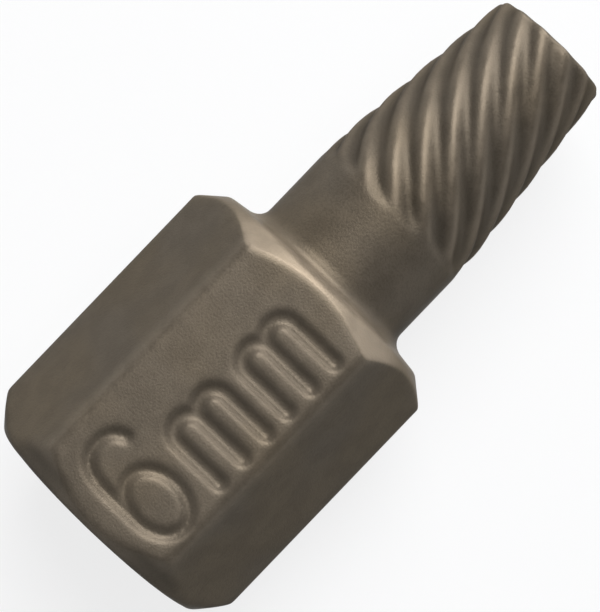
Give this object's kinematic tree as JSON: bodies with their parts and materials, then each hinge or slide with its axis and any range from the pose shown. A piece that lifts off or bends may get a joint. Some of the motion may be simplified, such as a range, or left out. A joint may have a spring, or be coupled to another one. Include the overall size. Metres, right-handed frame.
{
  "type": "screw extractor",
  "caption": "Short screw extractor with a hexagon drive head, a plain round neck and a tapered shank with left-hand spiral splines.",
  "frame": {"origin": "centre of the flat end face of the drive head, on the tool's axis", "axes": "+X along the axis from the drive end to the tip, +Z square to the head flat that faces up, +Y across; the tool lies on the opposite flat"},
  "size_m": [0.024, 0.0114, 0.01],
  "materials": {
    "blasted_steel": "matte grey-brown blasted steel, fine grained and evenly dark"
  },
  "bodies": {
    "root": {"extractor": "blasted_steel"}
  },
  "joints": []
}
